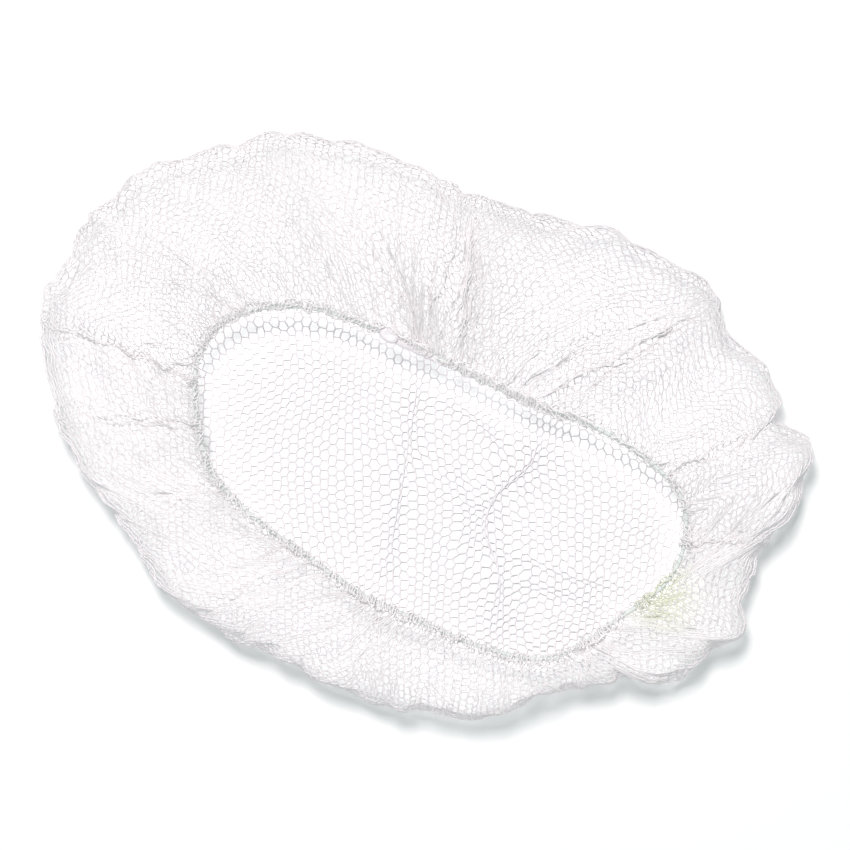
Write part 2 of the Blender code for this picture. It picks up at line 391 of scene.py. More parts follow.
def smooth_route(route: np.ndarray, steps: int) -> np.ndarray:
    """Lay a smooth curve through the points of a route.

    Args:
        route: The points, a row each.
        steps: How many runs each stretch between two points gets.

    Returns:
        The points of the curve.
    """
    points = []
    last = len(route) - 1
    for i in range(last):
        around = route[max(i - 1, 0)], route[i], route[i + 1], route[min(i + 2, last)]
        points.extend(cubic(*around, step / steps) for step in range(steps))
    points.append(route[-1])
    return np.array(points)


@dataclass(frozen=True)
class CapForm:
    """The form that the cap's cloth takes as it lies, with the sizes of its solid."""

    length: float = 0.272
    width: float = 0.192
    height: float = 0.036
    edge_height: float = 0.012
    rim_length: float = 0.181
    rim_width: float = 0.094
    rim_height: float = 0.020
    rim_shift: Pair = (0.0126, -0.0141)
    band_radius: float = 0.0012
    clearance: float = 0.0003
    arch_power: float = 0.8
    steps: int = 8
    box_sides: int = 112

    def share(self, column: str, angles: np.ndarray) -> np.ndarray:
        """Read a column of SECTIONS, joined smoothly all the way round.

        Args:
            column: The column's name.
            angles: The directions, on the oval.

        Returns:
            The column's shares there.
        """
        values = np.array([getattr(row, column) for row in SECTIONS])
        place = (angles % 360.0) / (360.0 / len(SECTIONS))
        row = np.floor(place).astype(int)
        around = [values[(row + k) % len(SECTIONS)] for k in (-1, 0, 1, 2)]
        return cubic(*around, place - row)

    def raw_outline(self, angles: np.ndarray, lobes: tuple[EdgeLobe, ...]) -> np.ndarray:
        """Give the outer edge from above, before it is centred.

        Args:
            angles: The directions, on the oval.
            lobes: The tabs and notches that it has.

        Returns:
            The edge's points, in the plane.
        """
        share = self.share("outline", angles)
        for lobe in lobes:
            share = share + lobe.reach * bump(turn_between(angles, lobe.angle), lobe.half_width)
        turn = np.radians(angles)
        return np.stack([
            share * self.length / 2 * np.cos(turn), share * self.width / 2 * np.sin(turn)], axis=-1)

    def middle(self) -> np.ndarray:
        """Give the middle of the outline's box."""
        edge = self.raw_outline(np.arange(self.box_sides) * 360.0 / self.box_sides, EDGE_LOBES)
        return (edge.max(axis=0) + edge.min(axis=0)) / 2

    def outline(self, angles: np.ndarray) -> np.ndarray:
        """Give the outer edge, in three dimensions."""
        flat = self.raw_outline(angles, EDGE_LOBES + FINE_LOBES) - self.middle()
        return np.concatenate([flat, (self.edge_height * self.share("edge", angles))[..., None]], axis=-1)

    def rim(self, angles: np.ndarray) -> np.ndarray:
        """Follow the elastic's centre line.

        Args:
            angles: The directions, on the oval.

        Returns:
            The line's points.
        """
        share = self.share("rim", angles)
        turn = np.radians(angles)
        middle = self.middle()
        return np.stack([
            self.rim_shift[0] - middle[0] + share * self.rim_length / 2 * np.cos(turn),
            self.rim_shift[1] - middle[1] + share * self.rim_width / 2 * np.sin(turn),
            self.rim_height * self.share("band", angles),
        ], axis=-1)

    def outward(self, angles: np.ndarray) -> np.ndarray:
        """Find which way is out of the rim's opening.

        Args:
            angles: The directions, on the oval.

        Returns:
            The level unit vectors that point away from the opening.
        """
        along = self.rim(angles + 1.0) - self.rim(angles - 1.0)
        away = np.stack([along[..., 1], -along[..., 0], np.zeros_like(angles)], axis=-1)
        return away / np.linalg.norm(away, axis=-1, keepdims=True)

    def fold_rise(self, angles: np.ndarray, reach: float) -> np.ndarray:
        """Give how far the large folds lift the puff.

        Args:
            angles: The directions, on the oval.
            reach: The share of the way out from the rim.

        Returns:
            The lift in each direction.
        """
        arch = math.sin(math.pi * min(max(reach, 0.0), 1.0)) ** self.arch_power
        rise = np.zeros_like(angles)
        for fold in PUFF_FOLDS:
            run = fold.inner + turn_between(fold.outer, fold.inner) * reach
            rise = rise + self.height * fold.rise * arch * bump(turn_between(angles, run), fold.half_width)
        return rise

    def ways(self, angles: np.ndarray) -> tuple[np.ndarray, np.ndarray]:
        """Follow the cloth from the crown's middle to its gathered edge.

        Args:
            angles: The directions, on the oval.

        Returns:
            The points, by direction and station, and each station's share of the way out from the
            rim. On the crown that share is above 1.
        """
        outline = self.outline(angles)
        edge = self.rim(angles) + self.outward(angles) * (self.band_radius + self.clearance)
        crest = self.height * self.share("crest", angles)
        rows = []
        for station in STATIONS:
            if station.layer == "crown":
                point = outline * np.array([station.reach, station.reach, station.rise])
            else:
                foot = outline[:, 2] if station.layer == "puff" else edge[:, 2]
                point = edge + (outline - edge) * station.reach
                point[:, 2] = foot + (crest - foot) * station.rise
            rows.append(point)
        points = []
        reaches = []
        last = len(STATIONS) - 1
        for i in range(last + 1):
            for step in range(self.steps if i < last else 1):
                t = step / self.steps
                after = min(i + 1, last)
                point = cubic(rows[max(i - 1, 0)], rows[i], rows[after], rows[min(i + 2, last)], t)
                reach = STATIONS[i].reach + (STATIONS[after].reach - STATIONS[i].reach) * t
                if STATIONS[i].layer == "crown":
                    point[:, 2] = np.maximum(point[:, 2], 0.0)
                    reaches.append(2.0 - min(reach, 1.0))
                else:
                    point[:, 2] += self.fold_rise(angles, reach)
                    reaches.append(reach)
                points.append(point)
        return np.stack(points, axis=1), np.array(reaches)


@dataclass(frozen=True)
class Hem:
    """The net's edge, turned under the elastic, round it and back over the top of itself."""

    radius: float = 0.0015
    sweep: float = 225.0
    tail: float = 0.0035
    steps: int = 18

    def ways(self, form: CapForm, angles: np.ndarray) -> np.ndarray:
        """Follow the hem past the gathered edge.

        Args:
            form: The cap's form.
            angles: The directions, on the oval.

        Returns:
            The points, by direction and step.
        """
        centre = form.rim(angles)
        away = form.outward(angles)
        points = []
        for i in range(1, self.steps + 1):
            turn = -math.radians(self.sweep * i / self.steps)
            points.append(centre + (away * math.cos(turn) + UP * math.sin(turn)) * self.radius)
        slope = (away + UP) / math.sqrt(2.0)
        points.append(points[-1] + slope * self.tail)
        return np.stack(points, axis=1)


class Pleat(NamedTuple):
    """A pleat as the drape uses it, from the rim out to where it ends, in degrees and metres."""

    outer: float
    inner: float
    half_width: float
    end: float
    squeeze: float
    lean: float
    rise: float


class PleatKind(NamedTuple):
    """The ranges that a kind of pleat is drawn from, in degrees, shares and millimetres."""

    drift: Pair
    half_width: Pair
    end: Pair
    squeeze: Pair
    lean: Pair
    rise: Pair

    def draw(self, chance: np.random.Generator, outer: float, inner: float) -> Pleat:
        """Draw one pleat.

        Args:
            chance: The source of the random draws.
            outer: Its direction at the outer edge, before it drifts.
            inner: Its direction at the rim.

        Returns:
            The pleat.
        """
        drift, half_width, end, squeeze, lean, rise = (chance.uniform(*span) for span in self)
        return Pleat(outer + drift, inner, half_width, end, squeeze, lean * MM, rise * MM)


FINE_PLEATS = PleatKind((-1.5, 1.5), (0.8, 2.0), (0.6, 1.05), (0.35, 0.75), (-0.7, 0.7), (-0.7, 0.8))
RIM_PLEATS = PleatKind((-6.0, 6.0), (1.2, 2.8), (0.15, 0.7), (0.2, 0.5), (-0.4, 0.4), (-0.5, 0.8))


@dataclass
class Drape:
    """The map from the flat cut to the lying cap.

    Reaches are shares of the way out from the rim, above 1 on the crown. A fade is the run over
    which something grows from nothing to all of it.
    """

    form: CapForm
    hem: Hem
    directions: int = 720
    step: float = 0.0005
    gather_end: float = 1.15
    gather_spread: float = 0.42
    inner_spread: float = 0.7
    rim_pleats: int = 104
    rim_jitter: float = 0.45
    pleat_fade: float = 0.35
    pleat_foot: float = 0.25
    pleat_growth: float = 9.0
    crease_steps: int = 6
    crease_hold: float = 1.5
    fullness: float = 1.2
    full_reach: float = 1.45
    full_fade: float = 0.35
    slack: float = 0.00016
    slack_waves: int = 14
    slack_pitch: Pair = (0.006, 0.022)
    slack_reach: float = 1.4
    slack_fade: float = 0.4
    ragged: float = 0.0075
    ragged_waves: tuple[int, ...] = (9, 17, 26, 41, 63, 88)
    ragged_reach: float = 0.3
    seed: int = 7
    pleats: list[Pleat] = field(init=False)
    headings: np.ndarray = field(init=False)
    grid: np.ndarray = field(init=False)
    reaches: np.ndarray = field(init=False)
    cut: np.ndarray = field(init=False)

    def __post_init__(self) -> None:
        """Measure the cloth's way in every direction and lay it out at even steps."""
        self.pleats = self.choose_pleats()
        angles = np.arange(self.directions) * 360.0 / self.directions
        ways, reaches = self.form.ways(angles)
        ways = np.concatenate([ways, self.hem.ways(self.form, angles)], axis=1)
        reaches = np.concatenate([reaches, np.full(ways.shape[1] - len(reaches), HEM_REACH)])
        runs = np.linalg.norm(np.diff(ways, axis=1), axis=2)
        full = np.clip((self.full_reach - reaches[1:]) / self.full_fade, 0.0, 1.0)
        runs *= 1.0 + (self.fullness - 1.0) * full
        arcs = np.concatenate([np.zeros((self.directions, 1)), np.cumsum(runs, axis=1)], axis=1)
        self.cut = arcs[:, -1]
        stations = np.arange(int(self.cut.max() / self.step) + 3) * self.step
        self.grid = np.empty((self.directions, len(stations), 3))
        self.reaches = np.empty((self.directions, len(stations)))
        for i in range(self.directions):
            for axis in range(3):
                self.grid[i, :, axis] = np.interp(stations, arcs[i], ways[i, :, axis])
            self.reaches[i] = np.interp(stations, arcs[i], reaches)
        edge = self.form.outline(angles)
        turns = np.unwrap(np.arctan2(edge[:, 1], edge[:, 0]))
        self.headings = np.degrees(turns)

    def choose_pleats(self) -> list[Pleat]:
        """List the pleats.

        Returns:
            The broad gathers, the fine pleats in each and the short pleats round the rim.
        """
        chance = np.random.default_rng(self.seed)
        pleats = []
        for gather in GATHERS:
            pleats.append(Pleat(
                gather.outer, gather.inner, gather.half_width, self.gather_end, gather.squeeze, 0.0, 0.0))
            for _ in range(gather.pleats):
                aside = chance.uniform(-self.gather_spread, self.gather_spread) * gather.half_width
                inner = gather.inner + aside * self.inner_spread
                pleats.append(FINE_PLEATS.draw(chance, gather.outer + aside, inner))
        for i in range(self.rim_pleats):
            middle = (i + chance.uniform(-self.rim_jitter, self.rim_jitter)) * 360.0 / self.rim_pleats
            pleats.append(RIM_PLEATS.draw(chance, middle, middle))
        return pleats

    def angle_of(self, flat: np.ndarray) -> np.ndarray:
        """Find where flat points lie on the oval.

        Args:
            flat: Points of the flat cut.

        Returns:
            The direction of each on the oval.
        """
        angles = np.arange(self.directions + 1) * 360.0 / self.directions
        headings = np.append(self.headings, self.headings[0] + 360.0)
        turns = np.degrees(np.arctan2(flat[:, 1], flat[:, 0]))
        turns = self.headings[0] + (turns - self.headings[0]) % 360.0
        return np.interp(turns, headings, angles)

    def read(self, table: np.ndarray, angles: np.ndarray, radius: np.ndarray) -> np.ndarray:
        """Read a table of the drape between its directions and steps.

        Args:
            table: The table, by direction and step.
            angles: The directions of the points.
            radius: Their distances from the crown's middle in the flat cut.

        Returns:
            The table's values there.
        """
        across = (angles % 360.0) / 360.0 * self.directions
        along = np.clip(radius / self.step, 0.0, table.shape[1] - 1.001)
        i = np.floor(across).astype(int)
        k = np.floor(along).astype(int)
        u = across - i
        v = along - k
        if table.ndim == 3:
            u = u[:, None]
            v = v[:, None]
        i %= self.directions
        j = (i + 1) % self.directions
        near = table[i, k] * (1 - u) + table[j, k] * u
        far = table[i, k + 1] * (1 - u) + table[j, k + 1] * u
        return near * (1 - v) + far * v

    def cut_radius(self, flat: np.ndarray) -> np.ndarray:
        """Give the flat cut's radius in the direction of each flat point."""
        across = self.angle_of(flat) / 360.0 * self.directions
        return np.interp(across, np.arange(self.directions + 1), np.append(self.cut, self.cut[0]))

    def crease_crown(self, flat: np.ndarray) -> tuple[np.ndarray, np.ndarray]:
        """Draw the crown's net in towards its creases.

        Args:
            flat: Points of the flat cut.

        Returns:
            How far each point moves in the plane and how far it is lifted.
        """
        shift = np.zeros_like(flat)
        lift = np.zeros(len(flat))
        for crease in CROWN_CREASES:
            route = smooth_route(np.array(crease.route) * MM, self.crease_steps)
            nearest = np.full(len(flat), np.inf)
            away = np.zeros_like(flat)
            for start, end in zip(route[:-1], route[1:]):
                run = end - start
                share = np.clip(((flat - start) @ run) / (run @ run), 0.0, 1.0)
                offset = flat - start - share[:, None] * run
                distance = np.linalg.norm(offset, axis=1)
                closer = distance < nearest
                nearest = np.where(closer, distance, nearest)
                away[closer] = offset[closer]
            pull = bump(nearest, crease.half_width * MM)
            ends = np.minimum(*(np.linalg.norm(flat - end, axis=1) for end in (route[0], route[-1])))
            hold = np.clip(ends / (self.crease_hold * crease.half_width * MM), 0.0, 1.0)
            shift -= away * (crease.squeeze * pull * hold)[:, None]
            lift = np.maximum(lift, crease.height * MM * pull)
        return shift, lift

    def gather(self, angles: np.ndarray, reach: np.ndarray) -> tuple[np.ndarray, np.ndarray]:
        """Draw the puff's net in towards its folds and small pleats.

        Args:
            angles: The directions of the points.
            reach: Their shares of the way out from the rim.

        Returns:
            How far each point turns, in degrees, and how far it is lifted.
        """
        turn = np.zeros_like(angles)
        lift = np.zeros_like(angles)
        puff = np.clip(reach, 0.0, 1.0)
        for pleat in self.pleats:
            run = pleat.inner + turn_between(pleat.outer, pleat.inner) * puff
            away = turn_between(angles, run)
            fade = np.clip((pleat.end - reach) / (self.pleat_fade * pleat.end), 0.0, 1.0)
            pull = bump(away, pleat.half_width) * fade
            turn -= pleat.squeeze * away * pull
            growth = np.clip(puff * self.pleat_growth, self.pleat_foot, 1.0)
            lift += (away / pleat.half_width * pleat.lean + pleat.rise * growth) * pull
        return turn, lift

    def place(self, flat: np.ndarray) -> tuple[np.ndarray, np.ndarray]:
        """Drape points of the flat cut.

        Args:
            flat: The points, with the crown's middle at the origin.

        Returns:
            Where they come to lie, and their shares of the way out from the rim.
        """
        shift, rise = self.crease_crown(flat)
        flat = flat + shift
        angles = self.angle_of(flat)
        radius = np.linalg.norm(flat, axis=1)
        reach = self.read(self.reaches, angles, radius)
        turn, lift = self.gather(angles, reach)
        points = self.read(self.grid, angles + turn, radius)
        points[:, 2] += lift + rise
        points[:, :2] *= 1.0 + self.ragged_edge(angles, reach)[:, None]
        loose = np.clip((self.slack_reach - reach) / self.slack_fade, 0.0, 1.0)
        return points + self.ripple(flat) * loose[:, None], reach

    def ripple(self, flat: np.ndarray) -> np.ndarray:
        """Give the small slack waves of the loose net.

        Args:
            flat: Points of the flat cut.

        Returns:
            How far each moves.
        """
        chance = np.random.default_rng(self.seed + 2)
        moves = np.zeros((len(flat), 3))
        for _ in range(self.slack_waves):
            wave = chance.uniform(*self.slack_pitch)
            heading = chance.uniform(0.0, math.tau)
            push = chance.normal(0.0, 1.0, 3)
            along = flat[:, 0] * math.cos(heading) + flat[:, 1] * math.sin(heading)
            size = np.sin(along / wave * math.tau + chance.uniform(0.0, math.tau)) * self.slack
            moves += size[:, None] * push
        return moves

    def ragged_edge(self, angles: np.ndarray, reach: np.ndarray) -> np.ndarray:
        """Make the outer edge uneven, as handling leaves it.

        Args:
            angles: The directions of the points.
            reach: Their shares of the way out from the rim.

        Returns:
            How far each stands in or out, as a share of its distance from the middle.
        """
        chance = np.random.default_rng(self.seed + 1)
        size = np.zeros_like(angles)
        for waves in self.ragged_waves:
            strength = chance.uniform(0.6, 1.0) * self.ragged / math.sqrt(waves / self.ragged_waves[0])
            size += strength * np.sin(np.radians(angles * waves + chance.uniform(0.0, 360.0)))
        return size * bump(reach - 1.0, self.ragged_reach)


@dataclass(frozen=True)
class NylonNetFinish:
    """Nylon 6 multifilament yarn, knitted to net and heat-set: a soft satin white with no gloss.

    The yarn is a bundle of fine filaments, which a fine relief stands for. It is a pinkish white in a single
    layer, with faint blotches, and a plainer grey, which is painted shade, where cells close up and layers
    bunch and over the puff.
    An emission painted on the thin nylon is painted light: it lifts the yarn where it would look dark in
    shade.
    """

    single: str = "#F0EAED"
    # The second grey is painted shade, put where cells close up and over the puff.
    crowded_shade: str = "#E1DDDE"
    tinted: str = "#D8DAC4"
    roughness: float = 0.5
    ior: float = 1.53
    filament_pitch_mm: float = 0.35
    filament_depth_mm: float = 0.05
    relief: float = 0.25
    blotch_mm: float = 100.0 / 9.0
    blotch_strength: float = 0.12

    def build(self) -> Material:
        """Build the net's material."""
        material, tree, shader = new_material("knitted_nylon_yarn_painted_light_and_shade")
        crowd_shade, tint, painted_glow = (
            add_node(tree, "ShaderNodeAttribute", attribute_name=name).outputs["Fac"]
            for name in ("crowd_shade", "tint", "painted_glow"))
        place = add_node(tree, "ShaderNodeTexCoord").outputs["Object"]
        blotch = add_node(tree, "ShaderNodeTexNoise", {
            "Vector": place, "Scale": 1.0 / (self.blotch_mm * MM), "Detail": 3.0})
        level = add_node(tree, "ShaderNodeMapRange", {
            "Value": blotch.outputs["Fac"], "From Min": 0.3, "From Max": 0.7,
            "To Min": -self.blotch_strength, "To Max": self.blotch_strength})
        mixed = add_node(tree, "ShaderNodeMath", {0: crowd_shade, 1: level.outputs["Result"]},
                         operation="ADD", use_clamp=True)
        grey = add_node(tree, "ShaderNodeMix", {
            "Factor": mixed.outputs["Value"], "A": hex_to_linear(self.single),
            "B": hex_to_linear(self.crowded_shade)}, data_type="RGBA")
        colour = add_node(tree, "ShaderNodeMix", {
            "Factor": tint, "A": grey.outputs["Result"], "B": hex_to_linear(self.tinted)}, data_type="RGBA")
        filaments = add_node(tree, "ShaderNodeTexNoise", {
            "Vector": place, "Scale": 1.0 / (self.filament_pitch_mm * MM), "Detail": 2.0})
        relief = add_node(tree, "ShaderNodeBump", {
            "Height": filaments.outputs["Fac"], "Strength": self.relief,
            "Distance": self.filament_depth_mm * MM})
        # The emission is painted light: it lifts the yarn where it lies in shade.
        set_inputs(shader, {
            "Base Color": colour.outputs["Result"], "Emission Color": colour.outputs["Result"],
            "Emission Strength": painted_glow, "Normal": relief.outputs["Normal"],
            "Roughness": self.roughness, "IOR": self.ior})
        return material


@dataclass(frozen=True)
class ThreadSize:
    """A kind of thread in the net: its radius, its sides and how it is smoothed."""

    radius: float
    sides: int
    cuts: int


class Strand(Enum):
    """The two kinds of strand that close a cell of the net."""

    LEG = ThreadSize(0.00028, 4, 2)
    TIE = ThreadSize(0.00024, 3, 1)


class Quarter(Enum):
    """The quarters that the one cut of net is modelled in, by the signs of X and Y."""

    RIGHT_BACK = (1, 1)
    LEFT_BACK = (-1, 1)
    LEFT_FRONT = (-1, -1)
    RIGHT_FRONT = (1, -1)

    @property
    def piece_name(self) -> str:
        """The name of the piece that holds this quarter."""
        return "net_" + self.name.lower()


@dataclass
class HoneycombNet:
    """The cut of net: its cells laid out flat, trimmed, draped and spun into threads.

    The painted lights are strengths of emission painted on the threads, painted light that lifts them where
    they lie in shade: where the puff covers the crown, in its shadow at the rim, on the puff, near the rim,
    and on the side away from the light. The grey where the cells close up and over the puff is painted
    shade. The waves are the slow drift of its cells.
    """

    drape: Drape
    finish: NylonNetFinish
    column_pitch: float = 0.0027
    row_pitch: float = 0.00325
    turn: float = 30.0
    half_columns: float = 0.246
    half_rows: float = 0.215
    tie_length: float = 0.0021
    uneven: float = 0.00021
    # The next five are strengths of emission painted on the threads: painted light that lifts them in shade.
    painted_light_under_puff: float = 0.13
    painted_light_rim_shadow: float = 0.30
    painted_light_puff: float = 0.07
    painted_light_rim: float = 0.13
    painted_light_shaded_side: float = 0.08
    light_turn: float = 108.0
    lit_half_turn: float = 115.0
    rim_unlit: float = 0.4
    rim_fade: float = 0.3
    crown_fade: float = 0.08
    cover_fade_mm: float = 3.0
    shadow_inside_mm: float = 2.5
    shadow_half_width_mm: float = 7.0
    # These three set where and how strongly the whole puff gets painted shade.
    crowd_reach: float = 1.15
    crowd_fade: float = 0.3
    painted_shade_puff: float = 0.75
    crowd_loss: Pair = (0.3, 0.8)
    stain_centre: Pair = (0.104, -0.008)
    stain_radius: float = 0.017
    stain_foot: float = 0.004
    stain_fade: float = 0.008
    waves: int = 7
    wave_pitch: Pair = (0.025, 0.09)
    wave_share: float = 0.012
    seed: int = 11

    def lay_out(self) -> Object:
        """Lay the cells out flat: one hexagon, repeated in half-offset columns and joined."""
        deselect_all()
        side = self.column_pitch * 2 / 3
        bpy.ops.mesh.primitive_circle_add(vertices=6, radius=side, fill_type="NOTHING")
        cells = bpy.context.object
        cells.name = "net_cells"
        bpy.ops.object.mode_set(mode="EDIT")
        bpy.ops.mesh.select_all(action="SELECT")
        bpy.ops.transform.rotate(value=math.radians(30), orient_axis="Z", center_override=(0, 0, 0))
        tall = self.row_pitch / 2 / (side * math.sin(math.radians(60)))
        bpy.ops.transform.resize(value=(1, tall, 1), center_override=(0, 0, 0))
        bpy.ops.object.mode_set(mode="OBJECT")
        corners = read_points(cells.data)
        beside = np.abs(corners[:, 0]) > 0.75 * side
        reach = np.where(beside, self.column_pitch - self.tie_length / 2, self.tie_length / 2)
        corners[:, 0] = np.sign(corners[:, 0]) * reach
        write_points(cells.data, corners)
        rows = int(2 * self.half_rows / self.row_pitch)
        columns = int(self.half_columns / self.column_pitch)
        for name, offset, count in (
            ("beside", (self.column_pitch, self.row_pitch / 2, 0), 2),
            ("columns", (self.column_pitch * 2, 0, 0), columns),
            ("rows", (0, self.row_pitch, 0), rows),
        ):
            bpy.ops.object.modifier_add(type="ARRAY")
            array = cells.modifiers[-1]
            array.name = name
            array.use_relative_offset = False
            array.use_constant_offset = True
            array.constant_offset_displace = offset
            array.count = count
            bpy.ops.object.modifier_apply(modifier=name)
        weld(0.05 * MM)
        corner = Vector((-self.column_pitch * (columns - 0.5), -self.row_pitch * (rows - 0.5) / 2, 0))
        cells.data.transform(Matrix.Rotation(math.radians(self.turn), 4, "Z") @ Matrix.Translation(corner))
        return cells

    def trim(self, cells: Object) -> None:
        """Cut the net to the outline that the cap takes.

        Args:
            cells: The flat net.
        """
        flat = read_points(cells.data)[:, :2]
        outside = np.linalg.norm(flat, axis=1) > self.drape.cut_radius(flat)
        cells.data.vertices.foreach_set("select", outside)
        cells.data.edges.foreach_set("select", np.zeros(len(cells.data.edges), bool))
        activate(cells)
        bpy.ops.object.mode_set(mode="EDIT")
        bpy.ops.mesh.select_mode(type="VERT")
        bpy.ops.mesh.delete(type="VERT")
        bpy.ops.mesh.select_all(action="SELECT")
        bpy.ops.mesh.delete_loose(use_verts=True, use_edges=False, use_faces=False)
        bpy.ops.object.mode_set(mode="OBJECT")

    def unsettle(self, flat: np.ndarray) -> np.ndarray:
        """Move the cells' corners a little, as handled net does.

        Args:
            flat: The corners of the cells.

        Returns:
            The corners, moved by slow waves and by a little chance.
        """
        chance = np.random.default_rng(self.seed)
        moved = flat + chance.normal(0.0, self.uneven, flat.shape)
        for _ in range(self.waves):
            wave = chance.uniform(*self.wave_pitch)
            heading = chance.uniform(0.0, math.tau)
            push = chance.uniform(0.0, math.tau)
            phase = chance.uniform(0.0, math.tau)
            along = flat[:, 0] * math.cos(heading) + flat[:, 1] * math.sin(heading)
            size = np.sin(along / wave * math.tau + phase) * wave * self.wave_share
            moved[:, 0] += size * math.cos(push)
            moved[:, 1] += size * math.sin(push)
        return moved

    def hang(self, cells: Object) -> tuple[np.ndarray, np.ndarray]:
        """Drape the trimmed cells and note how they lie.

        Args:
            cells: The flat, trimmed net.

        Returns:
            Which edges are ties, and the middles of the flat edges.
        """
        mesh = cells.data
        flat = read_points(mesh)[:, :2]
        ends = np.empty(len(mesh.edges) * 2, np.int32)
        mesh.edges.foreach_get("vertices", ends)
        ends = ends.reshape(-1, 2)
        runs = flat[ends[:, 1]] - flat[ends[:, 0]]
        turn = math.radians(self.turn)
        upward = np.abs(-runs[:, 0] * math.sin(turn) + runs[:, 1] * math.cos(turn))
        ties = upward < 0.1 * self.row_pitch
        middles = flat[ends].mean(axis=1)
        points, reach = self.drape.place(self.unsettle(flat))
        points[:, 2] = np.maximum(points[:, 2], 0.0) + Strand.LEG.value.radius
        # The grey painted where cells close up, and over the whole puff, is painted shade.
        crowd_shade = self.crowding(ends, np.linalg.norm(runs, axis=1), points)
        puff = np.clip((self.crowd_reach - reach) / self.crowd_fade, 0.0, self.painted_shade_puff)
        stain = bump(np.linalg.norm(points[:, :2] - np.array(self.stain_centre), axis=1), self.stain_radius)
        write_points(mesh, points)
        set_values(mesh, "crowd_shade", np.maximum(crowd_shade, puff))
        stain *= np.clip((points[:, 2] - self.stain_foot) / self.stain_fade, 0.0, 1.0)
        set_values(mesh, "tint", stain)
        # Painted light: the emission strength at each corner, which lifts threads lying in shade.
        set_values(mesh, "painted_glow", self.painted_light_strength(points, reach))
        mesh.update()
        return ties, middles

    def painted_light_strength(self, points: np.ndarray, reach: np.ndarray) -> np.ndarray:
        """Work out the painted light on the threads: an emission strength that lifts threads lying in shade.

        Args:
            points: Where the net's corners lie.
            reach: Their shares of the way out from the rim.

        Returns:
            The strength of that painted light at each corner.
        """
        # Each part is painted light for threads in the puff's shade, in the rim's shadow, near the rim and
        # on the side away from the key.
        crown = np.clip((reach - 1.0) / self.crown_fade, 0.0, 1.0)
        rim = np.clip(1.0 - reach / self.rim_fade, 0.0, 1.0)
        under, shadow, lit_side = self.shades(points)
        rim_painted_light = self.painted_light_rim * rim * (self.rim_unlit + (1.0 - self.rim_unlit) * lit_side)
        shaded_side_painted_light = self.painted_light_shaded_side * (1.0 - rim) * (1.0 - lit_side)
        crown_painted_light = crown * (self.painted_light_under_puff * under + self.painted_light_rim_shadow * shadow)
        return crown_painted_light + (1.0 - crown) * (self.painted_light_puff + rim_painted_light + shaded_side_painted_light)

    def shades(self, points: np.ndarray) -> tuple[np.ndarray, np.ndarray, np.ndarray]:
        """Find where the puff covers the crown or keeps the light off it.

        Args:
            points: Where the net's corners lie.

        Returns:
            How far each lies under the puff, in the puff's shadow inside the rim, and on the side
            of the cap that the light comes from.
        """
        angles = np.arange(360.0)
        rim = self.drape.form.rim(angles)[:, :2]
        middle = rim.mean(axis=0)
        turns = np.arctan2(rim[:, 1] - middle[1], rim[:, 0] - middle[0])
        reach = np.hypot(rim[:, 0] - middle[0], rim[:, 1] - middle[1])
        order = np.argsort(turns)
        away = points[:, :2] - middle
        heading = np.arctan2(away[:, 1], away[:, 0])
        edge = np.interp(heading, turns[order], reach[order], period=math.tau)
        beyond = (np.hypot(away[:, 0], away[:, 1]) - edge) / MM
        lit_side = bump(turn_between(np.degrees(heading), self.light_turn), self.lit_half_turn)
        under = np.clip(beyond / self.cover_fade_mm, 0.0, 1.0)
        shadow = bump(beyond + self.shadow_inside_mm, self.shadow_half_width_mm) * lit_side
        return under, shadow, lit_side

    def crowding(self, ends: np.ndarray, flat_lengths: np.ndarray, points: np.ndarray) -> np.ndarray:
        """Measure how much narrower the cells round each corner have become.

        Args:
            ends: The two corners of each edge.
            flat_lengths: Each edge's length in the flat cut.
            points: Where the corners come to lie.

        Returns:
            0 for open cells to 1 for tightly gathered ones, for each corner.
        """
        lengths = np.linalg.norm((points[ends[:, 1]] - points[ends[:, 0]])[:, :2], axis=1)
        loss = np.clip(1.0 - lengths / flat_lengths, 0.0, 1.0)
        total = np.zeros(len(points))
        count = np.zeros(len(points))
        for side in (0, 1):
            np.add.at(total, ends[:, side], loss)
            np.add.at(count, ends[:, side], 1.0)
        return np.interp(total / np.maximum(count, 1.0), self.crowd_loss, (0.0, 1.0))

    def split(self, cells: Object, groups: np.ndarray) -> dict[int, Object]:
        """Separate the edges of each group into an object of their own.

        Args:
            cells: The draped net.
            groups: Each edge's group.

        Returns:
            The objects, by group.
        """
        mark = cells.data.attributes.new("group", "INT", "EDGE")
        mark.data.foreach_set("value", groups.astype(np.int32))
        parts = {}
        for group in sorted(set(groups.tolist()))[:-1]:
            mesh = cells.data
            values = np.empty(len(mesh.edges), np.int32)
            mesh.attributes["group"].data.foreach_get("value", values)
            activate(cells)
            bpy.ops.object.mode_set(mode="EDIT")
            bpy.ops.mesh.select_mode(type="EDGE")
            bpy.ops.mesh.select_all(action="DESELECT")
            bpy.ops.object.mode_set(mode="OBJECT")
            mesh.edges.foreach_set("select", values == group)
            bpy.ops.object.mode_set(mode="EDIT")
            bpy.ops.mesh.separate(type="SELECTED")
            bpy.ops.object.mode_set(mode="OBJECT")
            parts[group] = next(o for o in bpy.context.selected_objects if o != cells)
        parts[int(max(groups))] = cells
        return parts

